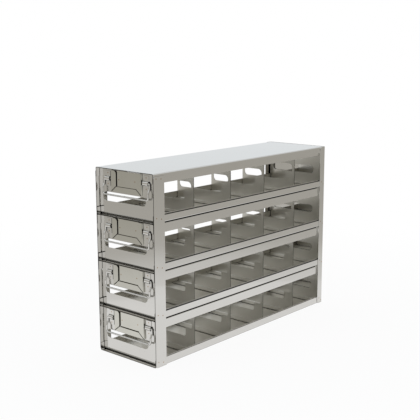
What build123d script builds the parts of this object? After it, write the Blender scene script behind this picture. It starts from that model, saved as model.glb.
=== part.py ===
"""Freezer storage rack: a folded-sheet housing with four sliding drawers.

Millimetres. +Z is up and the drawers pull out towards -Y. The origin is at the
bottom centre of the housing. Lengths with no axis in their name run along the sheet.
"""

from build123d import *
import os

# Housing
bay_count = 4
bay_pitch = 82.5
rack_width = 140.0
rack_depth = 497.5
housing_sheet = 1.0
housing_bend = 1.2
shelf_flange = 13.5
guide_flange = 16.5
guide_rear_gap = 7.0
top_notch = 4.5
post_width = 25.0
post_top_gap = 4.5
post_corner = 4.0
back_flange = 18.0
back_bend = 2.6
back_corner = 6.0

# Drawers
drawer_sheet = 1.0
drawer_bend = 0.8
drawer_side_gap = 0.7
drawer_lift = 0.4
drawer_head_gap = 2.2
drawer_recess = 8.0
drawer_rear_gap = 1.1
side_lip = 13.3
divider_count = 4
divider_pitch = 98.3
divider_height = 71.6
wall_foot = 17.0
panel_foot = 14.0
drain_width = 3.0
drain_margin = 6.0

# Slots in the drawer walls, measured from the drawer's sides and floor
slot_narrow_margin = 7.5
slot_wide_margin = 23.3
slot_sill = 22.1
slot_height = 16.0
slot_corner = 7.6
step_corner = 5.0
ledge_corner = 3.0

# Label holder, placed from the front panel's sides and top
label_sheet = 0.8
label_side_margin = 30.8
label_head_gap = 0.3
label_height = 36.7
label_depth = 3.2
label_side_lip = 11.5
label_bottom_lip = 9.4
label_lip_corner = 4.5
mitre_gap = 1.4

# Handle: a wire bail hung in two saddle clips, placed from the front panel's sides and top
clip_sheet = 0.8
clip_width = 12.0
clip_side_margin = 21.1
clip_length = 26.0
clip_bore = 3.6
clip_toe = 0.8
hinge_head_gap = 15.1
wire_radius = 1.5
wire_panel_gap = 0.35
arm_side_margin = 12.7
bar_drop = 27.2
bar_standoff = 5.4
joggle_start = 8.7
joggle_length = 7.0
elbow_radius = 2.3
joggle_radius = 4.0
corner_radius = 5.0
wire_end_inset = 0.5

# What follows from the driving dimensions
rack_height = bay_count * bay_pitch
front_y = -rack_depth / 2
back_y = rack_depth / 2
back_inner_y = back_y - housing_sheet
shelf_end_y = back_inner_y - back_bend
guide_end_y = back_y - back_flange - guide_rear_gap
shell_half = rack_width / 2 - housing_sheet
drawer_half = shell_half - housing_sheet - drawer_side_gap
panel_y = front_y + drawer_recess
rear_wall_y = back_inner_y - drawer_rear_gap - drawer_sheet
drawer_floor = housing_sheet + drawer_lift
drawer_deck = drawer_floor + drawer_sheet
tray_start_y = panel_y + 2 * drawer_sheet
panel_height = bay_pitch - housing_sheet - drawer_head_gap - drawer_deck
slot_left = -drawer_half + slot_narrow_margin
slot_right = drawer_half - slot_wide_margin
slot_middle_z = slot_sill + slot_height
divider_half = drawer_half - drawer_sheet - drawer_bend
label_half = drawer_half - label_side_margin
label_sill = panel_height - label_head_gap - label_height
clip_middle_x = drawer_half - clip_side_margin
arm_x = drawer_half - arm_side_margin
hinge_rise = panel_height - hinge_head_gap


def save(node, shape):
    shape.label = node
    export_step(shape, f"parts/{node}.step")


def along_y(profile, start, end):
    """Extrudes a profile drawn in X and Z from y = start to y = end."""
    return extrude(Plane.XZ.offset(-start) * profile, amount=end - start, dir=(0, 1, 0))


def along_x(profile, start, end):
    """Extrudes a profile drawn in Y and Z from x = start to x = end."""
    return extrude(Plane.YZ.offset(start) * profile, amount=end - start, dir=(1, 0, 0))


def folded_face(outside, inside, sheet, bend):
    """The section of a folded sheet, from the corners of its outer and inner sides."""
    outer = FilletPolyline(*outside, radius=bend + sheet)
    inner = FilletPolyline(*inside, radius=bend)
    ends = Line(outside[0], inside[0]) + Line(outside[-1], inside[-1])
    return make_face(outer + inner + ends)


def channel_face(half, height, sheet, bend):
    """A U that is open upwards, with the underside of its floor at z = 0."""
    outside = [(-half, height), (-half, 0), (half, 0), (half, height)]
    reach = half - sheet
    inside = [(-reach, height), (-reach, sheet), (reach, sheet), (reach, height)]
    return folded_face(outside, inside, sheet, bend)


# ---------------------------------------------------------------- housing


def make_shelf(level_z):
    """A tray that carries one drawer, open at the front, with a flange up each side."""
    section = channel_face(shell_half, shelf_flange, housing_sheet, housing_bend)
    return along_y(Pos(0, level_z) * section, front_y, shelf_end_y)


def make_guide(level_z):
    """The upside-down channel under a shelf that keeps the drawer below it level."""
    section = channel_face(shell_half, guide_flange, housing_sheet, housing_bend)
    return along_y(Pos(0, level_z) * Rot(0, 0, 180) * section, front_y, guide_end_y)


def make_top_panel():
    """The lid, whose side flanges are notched where they pass into the back panel."""
    section = channel_face(shell_half, guide_flange, housing_sheet, housing_bend)
    panel = along_y(Pos(0, rack_height) * Rot(0, 0, 180) * section, front_y, shelf_end_y)
    notch = Box(rack_width, 2 * (shelf_end_y - guide_end_y), 2 * top_notch)
    return panel - Pos(0, shelf_end_y, rack_height - guide_flange) * notch


def make_post(side):
    """A flat strip welded to the outside of every flange at the front corner."""
    height = rack_height - post_top_gap
    strip = Pos(front_y + post_width / 2, height / 2) * Rectangle(post_width, height)
    strip = fillet(strip.vertices().group_by(Axis.X)[0], post_corner)
    inner = side * shell_half
    outer = side * (shell_half + housing_sheet)
    return along_x(strip, min(inner, outer), max(inner, outer))


def make_back_panel():
    """Closes the back and wraps round the shelf flanges with a fold on each side."""
    half = rack_width / 2
    reach = half - housing_sheet
    fold_y = back_y - back_flange
    outside = [(-half, fold_y), (-half, back_y), (half, back_y), (half, fold_y)]
    inside = [(-reach, fold_y), (-reach, back_inner_y), (reach, back_inner_y), (reach, fold_y)]
    section = folded_face(outside, inside, housing_sheet, back_bend)
    panel = extrude(section, amount=rack_height)
    fold_edges = panel.edges().filter_by(Axis.X).group_by(Axis.Y)[0]
    return fillet(fold_edges, back_corner)


# ---------------------------------------------------------------- drawer


def wall_face(height, foot, forward):
    """A wall with a foot folded at its lower edge. Its front side is at y = 0."""
    if forward:
        outside = [(-foot, 0), (drawer_sheet, 0), (drawer_sheet, height)]
        inside = [(-foot, drawer_sheet), (0, drawer_sheet), (0, height)]
    else:
        outside = [(foot, 0), (0, 0), (0, height)]
        inside = [(foot, drawer_sheet), (drawer_sheet, drawer_sheet), (drawer_sheet, height)]
    return folded_face(outside, inside, drawer_sheet, drawer_bend)


def make_wall(front, deck_z, height, half, foot, forward=True):
    section = wall_face(height, foot, forward)
    return along_x(Pos(front, deck_z) * section, -half, half)


def through(opening, front, deck_z):
    """The cutter for an opening, whose place is given above the drawer's floor."""
    return along_y(Pos(0, deck_z) * opening, front - drawer_sheet, front + 2 * drawer_sheet)


def single_slot():
    length = slot_right - slot_left
    middle = ((slot_left + slot_right) / 2, slot_sill + slot_height / 2)
    return Pos(*middle) * RectangleRounded(length, slot_height, slot_corner)


def stepped_slot():
    """Two slots, one the other turned half a turn, that meet half way up a divider."""
    length = slot_right - slot_left
    shift = (slot_left + slot_right) / 2
    low = Pos(shift, slot_middle_z - slot_height / 2) * Rectangle(length, slot_height)
    high = Pos(-shift, slot_middle_z + slot_height / 2) * Rectangle(length, slot_height)
    shape = low + high

    def corners(points, radius):
        places = [Vector(*point) for point in points]
        near = [v for v in shape.vertices() if min((v.center() - p).length for p in places) < 0.1]
        return fillet(near, radius)

    top = slot_middle_z + slot_height
    shape = corners([(slot_left, slot_sill), (-slot_left, top)], slot_corner)
    shape = corners([(slot_right, slot_sill), (-slot_right, top)], step_corner)
    return corners([(slot_left, slot_middle_z), (-slot_left, slot_middle_z)], ledge_corner)


def divider_y(number):
    """The front side of a divider, counted from 1 behind the drawer's front."""
    return rear_wall_y - (divider_count + 1 - number) * divider_pitch


def make_drawer_tray(floor_z):
    """The drawer's floor and low sides, with a drain slit in front of each wall foot."""
    section = channel_face(drawer_half, side_lip, drawer_sheet, drawer_bend)
    tray = along_y(Pos(0, floor_z) * section, tray_start_y, rear_wall_y + drawer_sheet)
    slit = Box(2 * (drawer_half - drain_margin), drain_width, 4 * drawer_sheet)
    for number in range(1, divider_count + 2):
        slit_y = divider_y(number) - wall_foot - drain_width / 2
        tray -= Pos(0, slit_y, floor_z) * slit
    return tray


def make_front_panel(deck_z):
    """Covers the tray's sides in front, and its foot lies between them."""
    panel = make_wall(panel_y, deck_z, panel_height, drawer_half, panel_foot, forward=False)
    notch_start = panel_y + drawer_sheet + drawer_bend
    for side in (-1, 1):
        notch = Box(2 * (drawer_half - divider_half), 2 * panel_foot, 4 * drawer_sheet)
        panel -= Pos(side * drawer_half, notch_start + panel_foot, deck_z) * notch
    return panel - through(single_slot(), panel_y, deck_z)


def make_divider(number, deck_z):
    front = divider_y(number)
    divider = make_wall(front, deck_z, divider_height, divider_half, wall_foot)
    return divider - through(stepped_slot(), front, deck_z)


def make_rear_wall(deck_z):
    wall = make_wall(rear_wall_y, deck_z, panel_height, divider_half, wall_foot)
    return wall - through(single_slot(), rear_wall_y, deck_z)


def make_label_holder(deck_z):
    """A plate folded forward and inward on three sides, mitred at its lower corners."""
    sill = deck_z + label_sill
    half = label_half
    face_y = panel_y - label_depth
    lip_y = face_y + label_sheet
    outline = Pos(0, sill + label_height / 2) * Rectangle(2 * half, label_height)
    holder = along_y(outline, face_y, panel_y)
    inner_sill = sill + label_sheet
    inner_half = half - label_sheet
    pocket = Pos(0, inner_sill + label_height / 2) * Rectangle(2 * inner_half, label_height)
    holder -= along_y(pocket, lip_y, panel_y - label_sheet)
    window_sill = sill + label_bottom_lip
    window_half = half - label_side_lip
    window = Pos(0, window_sill + label_height / 2) * Rectangle(2 * window_half, label_height)
    holder -= along_y(window, face_y, lip_y)
    for side in (-1, 1):
        corner = (side * window_half, window_sill)
        mitre = Line(corner, (side * inner_half, inner_sill))
        turn = Rot(0, 0, mitre.tangent_angle_at(0.5))
        cut = Pos(*tuple(mitre @ 0.5)[:2]) * turn * Rectangle(mitre.length + mitre_gap, mitre_gap)
        holder -= along_y(cut, face_y, lip_y)
        lip_top = Vector(side * window_half, (face_y + lip_y) / 2, sill + label_height)
        tops = [e for e in holder.edges().filter_by(Axis.Y) if (e.center() - lip_top).length < 0.1]
        holder = fillet(tops, label_lip_corner)
    return holder


def make_clip(side, deck_z):
    """A strap with a half-round middle that holds one end of the bail."""
    outer = clip_bore + clip_sheet
    ends = clip_length / 2
    strap = Pos(-clip_sheet / 2, 0) * Rectangle(clip_sheet, 2 * ends)
    barrel = Circle(outer) & (Pos(-outer, 0) * Rectangle(2 * outer, 2 * outer))
    face = strap + barrel
    toes = [v for v in face.vertices() if abs(v.X + clip_sheet) < 0.01 and abs(v.Y) < outer]
    face = fillet(toes, clip_toe) - Circle(clip_bore)
    middle = side * clip_middle_x
    hinge_z = deck_z + hinge_rise
    return along_x(Pos(panel_y, hinge_z) * face, middle - clip_width / 2, middle + clip_width / 2)


def make_bail(deck_z):
    """One bent wire: two short ends in the clips, arms that step forward, and the bar."""
    hinge_y = panel_y - wire_radius - wire_panel_gap
    bar_y = panel_y - bar_standoff
    top = deck_z + hinge_rise
    step = top - joggle_start
    arm = [
        (arm_x, hinge_y, top),
        (arm_x, hinge_y, step),
        (arm_x, bar_y, step - joggle_length),
        (arm_x, bar_y, top - bar_drop),
    ]
    start = (clip_middle_x - clip_width / 2 + wire_end_inset, hinge_y, top)
    right = [start] + arm
    left = [(-x, y, z) for x, y, z in reversed(right)]
    bends = [elbow_radius, joggle_radius, joggle_radius, corner_radius]
    route = FilletPolyline(*right, *left, radius=bends + bends[::-1])
    return sweep((route ^ 0) * Circle(wire_radius), path=route)


def make_drawer(number, level_z):
    deck_z = level_z + drawer_deck
    name = f"drawer_{number}"
    save(f"{name}_tray", make_drawer_tray(level_z + drawer_floor))
    save(f"{name}_front", make_front_panel(deck_z))
    save(f"{name}_rear_wall", make_rear_wall(deck_z))
    for divider in range(1, divider_count + 1):
        save(f"{name}_divider_{divider}", make_divider(divider, deck_z))
    save(f"{name}_label_holder", make_label_holder(deck_z))
    save(f"{name}_clip_left", make_clip(-1, deck_z))
    save(f"{name}_clip_right", make_clip(1, deck_z))
    save(f"{name}_bail", make_bail(deck_z))


os.makedirs("parts", exist_ok=True)
save("top_panel", make_top_panel())
save("base_tray", make_shelf(0))
for level in range(1, bay_count):
    number = bay_count - level
    save(f"shelf_tray_{number}", make_shelf(level * bay_pitch))
    save(f"guide_channel_{number}", make_guide(level * bay_pitch))
save("front_post_left", make_post(-1))
save("front_post_right", make_post(1))
save("back_panel", make_back_panel())
for level in range(bay_count):
    make_drawer(bay_count - level, level * bay_pitch)
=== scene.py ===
import math
import bmesh
import bpy
from mathutils import Matrix, Vector


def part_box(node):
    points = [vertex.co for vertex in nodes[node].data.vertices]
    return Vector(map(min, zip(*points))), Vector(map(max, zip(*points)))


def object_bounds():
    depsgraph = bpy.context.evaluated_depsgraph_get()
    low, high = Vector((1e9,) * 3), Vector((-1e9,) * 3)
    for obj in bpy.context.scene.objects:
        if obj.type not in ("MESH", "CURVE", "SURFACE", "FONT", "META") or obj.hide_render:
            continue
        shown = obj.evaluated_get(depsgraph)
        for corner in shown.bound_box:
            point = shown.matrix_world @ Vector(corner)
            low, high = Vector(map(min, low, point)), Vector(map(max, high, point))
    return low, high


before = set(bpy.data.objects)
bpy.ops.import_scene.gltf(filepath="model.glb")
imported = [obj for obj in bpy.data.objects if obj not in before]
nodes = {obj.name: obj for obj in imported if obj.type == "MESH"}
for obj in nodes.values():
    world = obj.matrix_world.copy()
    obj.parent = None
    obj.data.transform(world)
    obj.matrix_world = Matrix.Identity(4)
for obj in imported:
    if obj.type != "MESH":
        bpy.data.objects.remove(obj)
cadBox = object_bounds()
millimetre = 0.001
print("frame loaded:", len(nodes), "nodes")


def srgb(code):
    parts = [int(code[i:i + 2], 16) / 255 for i in (1, 3, 5)]
    linear = [p / 12.92 if p <= 0.04045 else ((p + 0.055) / 1.055) ** 2.4 for p in parts]
    return (*linear, 1.0)


def addNode(tree, kind, values={}, links={}, **settings):
    node = tree.nodes.new(kind)
    for name, value in settings.items():
        setattr(node, name, value)
    for name, value in values.items():
        node.inputs[name].default_value = value
    for name, source in links.items():
        tree.links.new(source, node.inputs[name])
    return node


def newMaterial(name):
    material = bpy.data.materials.new(name)
    material.use_nodes = True
    material.node_tree.nodes.clear()
    return material, material.node_tree


# cold-rolled 304 stainless with a 2B finish: flat, satin-bright, close to a mirror at a low angle
millSheet = {
    "colour": "#d8d7d4", "tint": "#d5d3cf", "roughness": 0.055, "roughnessSpread": 0.01,
    "grain": 0.9 * millimetre, "grainStretch": 40, "grainDepth": 0.0012 * millimetre,
    "waviness": 90 * millimetre, "waveDepth": 0.02 * millimetre,
    "smudge": 35 * millimetre,
    "shadeReach": 3 * millimetre, "shadeTone": 0.03, "shadeRange": (0.3, 0.7),   # painted shade, darker where a fold or a gap closes in
    "mottleRange": (0.3, 0.7),   # how much of the smudge pattern turns into roughness
    "edgeShadeTone": "#474541", "edgeDepth": 0.15 * millimetre,   # sheared edges painted dark: partly their own duller tone, partly painted shade of the gap along them
    "grooveShadeTone": "#1c1b19", "grooveShadeReach": 1.2 * millimetre,   # painted shade along the joint line where two levels meet
    "rimShadeReach": 1.2 * millimetre,   # painted dark line along the sheared rim of each shelf's side
    "bendReach": 2.5 * millimetre,   # the painted lines run over the fold, this far in from the flange's face
}

# resistance spot welds: small round dimples with a straw heat tint
spotWelds = {
    "radius": 1.5 * millimetre, "depth": 0.05 * millimetre, "tone": "#a3835a", "strength": 0.75,
    # mm in from the front or the back, and mm above a level's base
    "postFront": ((6.3, 9.2), (17.7, 6.5)), "postBack": ((12.1, 10.6), (5.0, 5.6)),
    "lidFront": ((6.3, 8.2), (17.7, 9.4)),   # mm in, mm below the lid
    "label": (19.5, 64), "strap": (46.2, (54.7, 73.7)),   # mm from the middle, mm above a level's base
}

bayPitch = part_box("shelf_tray_2")[0][2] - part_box("shelf_tray_3")[0][2]
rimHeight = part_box("shelf_tray_3")[1][2]
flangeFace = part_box("shelf_tray_3")[1][0]


def millFinish(name, settings, along, welds=(), topWelds=(), shadedCutEdges=False, shadedCutSides=None,
               paintedGrooves=False):
    # along is the axis that the sheet was rolled in; welds repeat in every bay, topWelds don't
    material, tree = newMaterial(name)
    place = addNode(tree, "ShaderNodeTexCoord")
    stretch = [1.0, 1.0, 1.0]
    stretch[along] = 1 / settings["grainStretch"]
    rolled = addNode(tree, "ShaderNodeMapping", {"Scale": stretch}, {"Vector": place.outputs["Object"]})
    grain = addNode(tree, "ShaderNodeTexNoise",
                    {"Scale": 1 / settings["grain"], "Detail": 3.0}, {"Vector": rolled.outputs["Vector"]})
    wave = addNode(tree, "ShaderNodeTexNoise",
                   {"Scale": 1 / settings["waviness"], "Detail": 1.0}, {"Vector": place.outputs["Object"]})
    smudge = addNode(tree, "ShaderNodeTexNoise",
                     {"Scale": 1 / settings["smudge"], "Detail": 5.0, "Roughness": 0.6},
                     {"Vector": place.outputs["Object"]})
    tone = addNode(tree, "ShaderNodeMix", {"A": srgb(settings["colour"]), "B": srgb(settings["tint"])},
                   {"Factor": smudge.outputs["Fac"]}, data_type="RGBA").outputs["Result"]
    broad = addNode(tree, "ShaderNodeBump", {"Strength": 1.0, "Distance": settings["waveDepth"]},
                    {"Height": wave.outputs["Fac"]})
    fine = addNode(tree, "ShaderNodeBump", {"Strength": 1.0, "Distance": settings["grainDepth"]},
                   {"Height": grain.outputs["Fac"], "Normal": broad.outputs["Normal"]})
    normal = fine.outputs["Normal"]
    axes = addNode(tree, "ShaderNodeSeparateXYZ", {}, {"Vector": place.outputs["Object"]})
    if welds or topWelds:
        mark = weldMark(tree, axes, welds, topWelds)
        tinted = addNode(tree, "ShaderNodeMath", {1: spotWelds["strength"]}, {0: mark}, operation="MULTIPLY")
        tone = addNode(tree, "ShaderNodeMix", {"B": srgb(spotWelds["tone"])},
                       {"A": tone, "Factor": tinted.outputs["Value"]}, data_type="RGBA").outputs["Result"]
        normal = addNode(tree, "ShaderNodeBump", {"Strength": 1.0, "Distance": spotWelds["depth"]},
                         {"Height": mark, "Normal": normal}, invert=True).outputs["Normal"]
    # painted shade: the front cut edges are coloured dark
    if shadedCutEdges:
        behind = cadBox[0][1] + settings["edgeDepth"]
        shadedEdge = addNode(tree, "ShaderNodeMath", {1: behind}, {0: axes.outputs["Y"]}, operation="LESS_THAN")
        tone = addNode(tree, "ShaderNodeMix", {"B": srgb(settings["edgeShadeTone"])},
                       {"A": tone, "Factor": shadedEdge.outputs["Value"]}, data_type="RGBA").outputs["Result"]
    # painted shade: the cut sides are coloured dark
    if shadedCutSides:
        width = addNode(tree, "ShaderNodeMath", {}, {0: axes.outputs["X"]}, operation="ABSOLUTE")
        shadedEdge = addNode(tree, "ShaderNodeMath", {1: shadedCutSides - settings["edgeDepth"]},
                          {0: width.outputs["Value"]}, operation="GREATER_THAN")
        tone = addNode(tree, "ShaderNodeMix", {"B": srgb(settings["edgeShadeTone"])},
                       {"A": tone, "Factor": shadedEdge.outputs["Value"]}, data_type="RGBA").outputs["Result"]
    # painted shade: dark lines at the joints between levels and along the shelves' rims
    if paintedGrooves:
        joint = addNode(tree, "ShaderNodeMath", {1: bayPitch / 2, 2: -bayPitch / 2}, {0: axes.outputs["Z"]},
                        operation="WRAP")
        reach = addNode(tree, "ShaderNodeMath", {}, {0: joint.outputs["Value"]}, operation="ABSOLUTE")
        above = addNode(tree, "ShaderNodeMath", {1: rimHeight}, {0: axes.outputs["Z"]}, operation="SUBTRACT")
        rim = addNode(tree, "ShaderNodeMath", {1: bayPitch / 2, 2: -bayPitch / 2},
                      {0: above.outputs["Value"]}, operation="WRAP")
        rim = addNode(tree, "ShaderNodeMath", {}, {0: rim.outputs["Value"]}, operation="ABSOLUTE")
        rim = addNode(tree, "ShaderNodeMath", {1: settings["grooveShadeReach"] - settings["rimShadeReach"]},
                      {0: rim.outputs["Value"]})
        reach = addNode(tree, "ShaderNodeMath", {}, {0: reach.outputs["Value"], 1: rim.outputs["Value"]},
                        operation="MINIMUM")
        dark = addNode(tree, "ShaderNodeMapRange", {"From Min": 1.2 * settings["grooveShadeReach"],
                       "From Max": 0.8 * settings["grooveShadeReach"]}, {"Value": reach.outputs["Value"]})
        width = addNode(tree, "ShaderNodeMath", {}, {0: axes.outputs["X"]}, operation="ABSOLUTE")
        side = addNode(tree, "ShaderNodeMath", {1: flangeFace - settings["bendReach"]},
                       {0: width.outputs["Value"]}, operation="GREATER_THAN")
        dark = addNode(tree, "ShaderNodeMath", {}, {0: dark.outputs["Result"], 1: side.outputs["Value"]},
                       operation="MULTIPLY")
        tone = addNode(tree, "ShaderNodeMix", {"B": srgb(settings["grooveShadeTone"])},
                       {"A": tone, "Factor": dark.outputs["Value"]}, data_type="RGBA").outputs["Result"]
    # painted shade: the colour darkens where other surfaces come close, in folds and gaps
    fold = addNode(tree, "ShaderNodeAmbientOcclusion", {"Distance": settings["shadeReach"]})
    shut, clear = settings["shadeRange"]
    lit = addNode(tree, "ShaderNodeMapRange",
                  {"From Min": shut, "From Max": clear, "To Min": settings["shadeTone"], "To Max": 1.0},
                  {"Value": fold.outputs["AO"]}, interpolation_type="SMOOTHSTEP")
    toned = addNode(tree, "ShaderNodeMix", {"Factor": 1.0}, {"A": tone, "B": lit.outputs["Result"]},
                    data_type="RGBA", blend_type="MULTIPLY")
    low = settings["roughness"] - settings["roughnessSpread"]
    high = settings["roughness"] + settings["roughnessSpread"]
    few, many = settings["mottleRange"]
    rough = addNode(tree, "ShaderNodeMapRange",
                    {"From Min": few, "From Max": many, "To Min": low, "To Max": high},
                    {"Value": smudge.outputs["Fac"]})
    shader = addNode(tree, "ShaderNodeBsdfPrincipled", {"Metallic": 1.0},
                     {"Base Color": toned.outputs["Result"], "Roughness": rough.outputs["Result"],
                      "Normal": normal})
    addNode(tree, "ShaderNodeOutputMaterial", {}, {"Surface": shader.outputs["BSDF"]})
    return material


def weldMark(tree, axes, welds, topWelds):
    # 1 inside a weld and 0 away from it; each weld is (axis, across, height)
    bay = addNode(tree, "ShaderNodeMath", {1: bayPitch, 2: 0.0}, {0: axes.outputs["Z"]}, operation="WRAP")
    nearest = None
    for spots, height in ((welds, bay.outputs["Value"]), (topWelds, axes.outputs["Z"])):
        for axis, across, up in spots:
            spot = addNode(tree, "ShaderNodeCombineXYZ", {}, {"X": axes.outputs[axis], "Y": height})
            away = addNode(tree, "ShaderNodeVectorMath", {1: (across, up, 0)},
                           {0: spot.outputs["Vector"]}, operation="DISTANCE").outputs["Value"]
            if nearest is not None:
                away = addNode(tree, "ShaderNodeMath", {}, {0: away, 1: nearest},
                               operation="MINIMUM").outputs["Value"]
            nearest = away
    return addNode(tree, "ShaderNodeMapRange", {"From Min": spotWelds["radius"],
                   "From Max": 0.5 * spotWelds["radius"]}, {"Value": nearest},
                   interpolation_type="SMOOTHSTEP").outputs["Result"]


# bright-drawn stainless wire and its pressed straps: smoother than the sheet, with painted shade round their
# outlines
drawnWire = {
    "colour": "#d8d7d4", "outline": "#2c2b29", "smooth": 0.07, "rough": 0.18,
    "dieLines": 1.5 * millimetre,
    "shadeReach": 3 * millimetre, "shadeTone": 0.03, "shadeRange": (0.3, 0.7),
}


def drawnFinish(name, settings):
    material, tree = newMaterial(name)
    place = addNode(tree, "ShaderNodeTexCoord")
    lines = addNode(tree, "ShaderNodeTexNoise", {"Scale": 1 / settings["dieLines"], "Detail": 4.0},
                    {"Vector": place.outputs["Object"]})
    rough = addNode(tree, "ShaderNodeMapRange", {"To Min": settings["smooth"], "To Max": settings["rough"]},
                    {"Value": lines.outputs["Fac"]})
    # painted shade: the colour darkens where other surfaces come close
    fold = addNode(tree, "ShaderNodeAmbientOcclusion", {"Distance": settings["shadeReach"]})
    shut, clear = settings["shadeRange"]
    lit = addNode(tree, "ShaderNodeMapRange",
                  {"From Min": shut, "From Max": clear, "To Min": settings["shadeTone"], "To Max": 1.0},
                  {"Value": fold.outputs["AO"]}, interpolation_type="SMOOTHSTEP")
    toned = addNode(tree, "ShaderNodeMix", {"Factor": 1.0, "A": srgb(settings["colour"])},
                    {"B": lit.outputs["Result"]}, data_type="RGBA", blend_type="MULTIPLY")
    # painted shade: a dark edge tint darkens the wire round its outline
    shader = addNode(tree, "ShaderNodeBsdfPrincipled",
                     {"Metallic": 1.0, "Specular Tint": srgb(settings["outline"])},
                     {"Base Color": toned.outputs["Result"], "Roughness": rough.outputs["Result"]})
    addNode(tree, "ShaderNodeOutputMaterial", {}, {"Surface": shader.outputs["BSDF"]})
    return material


def dress(node, material):
    node.data.materials.clear()
    node.data.materials.append(material)


frontY, backY = cadBox[0][1], cadBox[1][1]
topZ = cadBox[1][2]
postWelds = [("Y", frontY + far * millimetre, up * millimetre) for far, up in spotWelds["postFront"]]
postWelds += [("Y", backY - far * millimetre, up * millimetre) for far, up in spotWelds["postBack"]]
lidWelds = [("Y", frontY + far * millimetre, topZ - down * millimetre) for far, down in spotWelds["lidFront"]]
labelAcross, labelUp = spotWelds["label"]
labelWelds = [("X", side * labelAcross * millimetre, labelUp * millimetre) for side in (-1, 1)]
strapAcross, strapHeights = spotWelds["strap"]
strapWelds = [("X", side * strapAcross * millimetre, up * millimetre)
              for side in (-1, 1) for up in strapHeights]
# painted shade that reaches further, for the label holder's and the straps' folds
deepShade = {"shadeReach": 6 * millimetre}
# painted reflection: the label holder gets a warmer, darker copy of the sheet's tone
labelReflectionTone = {"colour": "#d1d0c9", "tint": "#c9c7be"}

# the sheet inside the drawers is duller than the housing's, and its colour is painted a little paler as
# painted light inside the drawers
dullerAndPaintedPaler = {"colour": "#deddd8", "tint": "#dbd9d3", "roughness": 0.29, "roughnessSpread": 0.01}
trayFinish = millFinish("rolledStainlessTray", {**millSheet, **dullerAndPaintedPaler}, 1)
shelfFinish = millFinish("rolledStainlessShelf", millSheet, 1, shadedCutEdges=True, paintedGrooves=True)
lidFinish = millFinish("rolledStainlessLid", millSheet, 1, shadedCutEdges=True)
uprightFinish = millFinish("rolledStainlessUpright", millSheet, 2, postWelds, lidWelds, shadedCutEdges=True)
crossFinish = millFinish("rolledStainlessCross", millSheet, 0)
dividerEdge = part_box("drawer_1_divider_1")[1][0]
dividerFinish = millFinish("rolledStainlessDivider", {**millSheet, **dullerAndPaintedPaler}, 0, shadedCutSides=dividerEdge)
labelFinish = millFinish("rolledStainlessLabel", {**millSheet, **labelReflectionTone, **deepShade}, 0, labelWelds)
strapFinish = millFinish("pressedStainlessStrap", {**millSheet, **deepShade}, 2, strapWelds)
wireFinish = drawnFinish("drawnStainlessWire", drawnWire)
for name, node in nodes.items():
    if name.endswith("_bail"):
        dress(node, wireFinish)
    elif "_clip_" in name:
        dress(node, strapFinish)
    elif name.endswith("_label_holder"):
        dress(node, labelFinish)
    elif name.startswith(("front_post", "back_panel")):
        dress(node, uprightFinish)
    elif name in ("top_panel", "base_tray"):
        dress(node, lidFinish)
    elif name.endswith("_front"):
        dress(node, crossFinish)
    elif name.endswith("_rear_wall") or "_divider_" in name:
        dress(node, dividerFinish)
    elif name.startswith(("shelf_tray", "guide_channel")):
        dress(node, shelfFinish)
    else:
        dress(node, trayFinish)
print("materials assigned")


# a strip of white paper on the grey studio floor; each pair is a distance from its middle and a brightness
stage = {
    "radius": 4.0, "stripHeading": 41.22, "stripShift": 0.06,
    "fade": ((0.36, 0.93), (0.435, 0.90), (0.445, 0.82), (0.66, 0.72), (0.84, 0.57), (1.26, 0.52),
             (2.2, 0.48)),
    "warmth": (0, 0.03, 0.1),   # how much of each colour the darker floor loses
    "table": "#f4f4f4", "shadowShare": 0.08,
    "shadowReach": (0.35, 1.1),   # the shadow fades out over this distance
}


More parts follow.
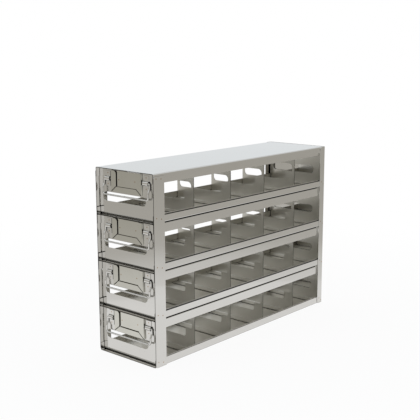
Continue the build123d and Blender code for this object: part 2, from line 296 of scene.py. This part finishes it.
def makeFloor(settings):
    mesh = bpy.data.meshes.new("floor")
    shape = bmesh.new()
    bmesh.ops.create_circle(shape, cap_ends=True, radius=settings["radius"], segments=64)
    shape.to_mesh(mesh)
    shape.free()
    floor = bpy.data.objects.new("floor", mesh)
    bpy.context.collection.objects.link(floor)
    material, tree = newMaterial("whiteTable")
    place = addNode(tree, "ShaderNodeTexCoord")
    heading = math.radians(settings["stripHeading"])
    across = addNode(tree, "ShaderNodeVectorMath", {1: (math.cos(heading), math.sin(heading), 0)},
                     {0: place.outputs["Object"]}, operation="DOT_PRODUCT")
    shifted = addNode(tree, "ShaderNodeMath", {1: settings["stripShift"]}, {0: across.outputs["Value"]})
    reach = addNode(tree, "ShaderNodeMath", {}, {0: shifted.outputs["Value"]}, operation="ABSOLUTE")
    far = settings["fade"][-1][0]
    share = addNode(tree, "ShaderNodeMath", {1: far}, {0: reach.outputs["Value"]}, operation="DIVIDE",
                    use_clamp=True)
    fade = addNode(tree, "ShaderNodeValToRGB", {}, {"Fac": share.outputs["Value"]})
    ramp = fade.color_ramp
    while len(ramp.elements) < len(settings["fade"]):
        ramp.elements.new(0.5)
    for stop, (radius, level) in zip(ramp.elements, settings["fade"]):
        stop.position = radius / far
        stop.color = [level - loss * (1 - level) for loss in settings["warmth"]] + [1]
    path = addNode(tree, "ShaderNodeLightPath")
    tone = addNode(tree, "ShaderNodeMix", {"B": (1, 1, 1, 1)},
                   {"A": fade.outputs["Color"], "Factor": path.outputs["Is Camera Ray"]}, data_type="RGBA")
    matte = addNode(tree, "ShaderNodeBsdfDiffuse", {"Color": srgb(settings["table"])})
    white = addNode(tree, "ShaderNodeEmission", {"Strength": 1.0}, {"Color": tone.outputs["Result"]})
    seen = addNode(tree, "ShaderNodeMath", {}, {0: path.outputs["Is Camera Ray"],
                   1: path.outputs["Is Glossy Ray"]}, operation="MAXIMUM")
    seen = addNode(tree, "ShaderNodeMath", {}, {0: seen.outputs["Value"],
                   1: path.outputs["Is Transmission Ray"]}, operation="MAXIMUM")
    away = addNode(tree, "ShaderNodeVectorMath", {}, {0: place.outputs["Object"]}, operation="LENGTH")
    near, gone = settings["shadowReach"]
    bare = addNode(tree, "ShaderNodeMapRange",
                   {"From Min": near, "From Max": gone, "To Min": 1 - settings["shadowShare"], "To Max": 1.0},
                   {"Value": away.outputs["Value"]}, interpolation_type="SMOOTHSTEP")
    plain = addNode(tree, "ShaderNodeMath", {}, {0: seen.outputs["Value"], 1: bare.outputs["Result"]},
                    operation="MULTIPLY")
    surface = addNode(tree, "ShaderNodeMixShader", {}, {0: plain.outputs["Value"],
                      1: matte.outputs["BSDF"], 2: white.outputs["Emission"]})
    addNode(tree, "ShaderNodeOutputMaterial", {}, {"Surface": surface.outputs["Shader"]})
    mesh.materials.append(material)


# a white paper backdrop behind the rack, a wide soft box above, and the grey of the room at the sides
studio = {
    "wall": "#bdbab3", "paper": "#ecf0f3", "fill": 1.0, "backdropHeading": 41.22,
    "backdropEdge": (0.5, 0.75), "backdropTop": (0.17, 0.21), "ceilingEdge": (0.3, 0.6),
}


def makeWorld(settings):
    world = bpy.data.worlds.new("studio")
    bpy.context.scene.world = world
    world.use_nodes = True
    tree = world.node_tree
    tree.nodes.clear()
    path = addNode(tree, "ShaderNodeLightPath")
    place = addNode(tree, "ShaderNodeTexCoord")
    heading = math.radians(settings["backdropHeading"])
    ahead = (-math.sin(heading), math.cos(heading), 0)
    toward = addNode(tree, "ShaderNodeVectorMath", {1: ahead}, {0: place.outputs["Generated"]},
                     operation="DOT_PRODUCT")
    backdrop = addNode(tree, "ShaderNodeMapRange", {"From Min": settings["backdropEdge"][0],
                       "From Max": settings["backdropEdge"][1]}, {"Value": toward.outputs["Value"]},
                       interpolation_type="SMOOTHSTEP")
    height = addNode(tree, "ShaderNodeSeparateXYZ", {}, {"Vector": place.outputs["Generated"]})
    low = addNode(tree, "ShaderNodeMapRange", {"From Min": settings["backdropTop"][1],
                  "From Max": settings["backdropTop"][0]}, {"Value": height.outputs["Z"]})
    backdrop = addNode(tree, "ShaderNodeMath", {}, {0: backdrop.outputs["Result"], 1: low.outputs["Result"]},
                       operation="MULTIPLY")
    ceiling = addNode(tree, "ShaderNodeMapRange", {"From Min": settings["ceilingEdge"][0],
                      "From Max": settings["ceilingEdge"][1]}, {"Value": height.outputs["Z"]},
                      interpolation_type="SMOOTHSTEP")
    bright = addNode(tree, "ShaderNodeMath", {}, {0: backdrop.outputs["Value"],
                     1: ceiling.outputs["Result"]}, operation="MAXIMUM")
    tone = addNode(tree, "ShaderNodeMix", {"A": srgb(settings["wall"]), "B": srgb(settings["paper"])},
                   {"Factor": bright.outputs["Value"]}, data_type="RGBA")
    tone = addNode(tree, "ShaderNodeMix", {"B": (1, 1, 1, 1)},
                   {"A": tone.outputs["Result"], "Factor": path.outputs["Is Camera Ray"]}, data_type="RGBA")
    seen = addNode(tree, "ShaderNodeMath", {}, {0: path.outputs["Is Camera Ray"],
                   1: path.outputs["Is Glossy Ray"]}, operation="MAXIMUM")
    seen = addNode(tree, "ShaderNodeMath", {}, {0: seen.outputs["Value"],
                   1: path.outputs["Is Transmission Ray"]}, operation="MAXIMUM")
    strength = addNode(tree, "ShaderNodeMapRange", {"To Min": settings["fill"], "To Max": 1.0},
                       {"Value": seen.outputs["Value"]})
    back = addNode(tree, "ShaderNodeBackground", {}, {"Strength": strength.outputs["Result"],
                   "Color": tone.outputs["Result"]})
    addNode(tree, "ShaderNodeOutputWorld", {}, {"Surface": back.outputs["Background"]})


softBox = {"place": (-0.2, 0.1, 1.8), "target": (0, 0, 0.2), "size": (1.6, 1.6), "power": 3}


def addLamp(name, settings):
    light = bpy.data.lights.new(name, "AREA")
    light.shape = "RECTANGLE"
    light.size, light.size_y = settings["size"]
    light.energy = settings["power"]
    lamp = bpy.data.objects.new(name, light)
    lamp.location = settings["place"]
    aim = Vector(settings["target"]) - Vector(settings["place"])
    lamp.rotation_euler = aim.to_track_quat("-Z", "Y").to_euler()
    bpy.context.collection.objects.link(lamp)


view = {
    "distanceRight": 1.0157, "distanceFront": 0.9435, "height": 0.5323,
    "heading": 41.22, "tilt": 10.98, "roll": -0.198, "focal": 71.91, "shift": (0.0021, -0.0031),
}


def makeCamera(settings):
    data = bpy.data.cameras.new("camera")
    data.sensor_width = 36
    data.lens = settings["focal"]
    data.shift_x, data.shift_y = settings["shift"]
    camera = bpy.data.objects.new("camera", data)
    place = Matrix.Translation((settings["distanceRight"], frontY - settings["distanceFront"],
                                settings["height"]))
    turn = Matrix.Rotation(math.radians(settings["heading"]), 4, "Z")
    turn @= Matrix.Rotation(math.radians(90 - settings["tilt"]), 4, "X")
    turn @= Matrix.Rotation(math.radians(settings["roll"]), 4, "Z")
    camera.matrix_world = place @ turn
    bpy.context.collection.objects.link(camera)
    bpy.context.scene.camera = camera


makeFloor(stage)
makeWorld(studio)
addLamp("overhead", softBox)
makeCamera(view)
bpy.context.scene.view_settings.view_transform = "Standard"
bpy.context.scene.cycles.glossy_bounces = 12   # light goes from sheet to sheet many times inside the drawers
print("stage, light and camera set")
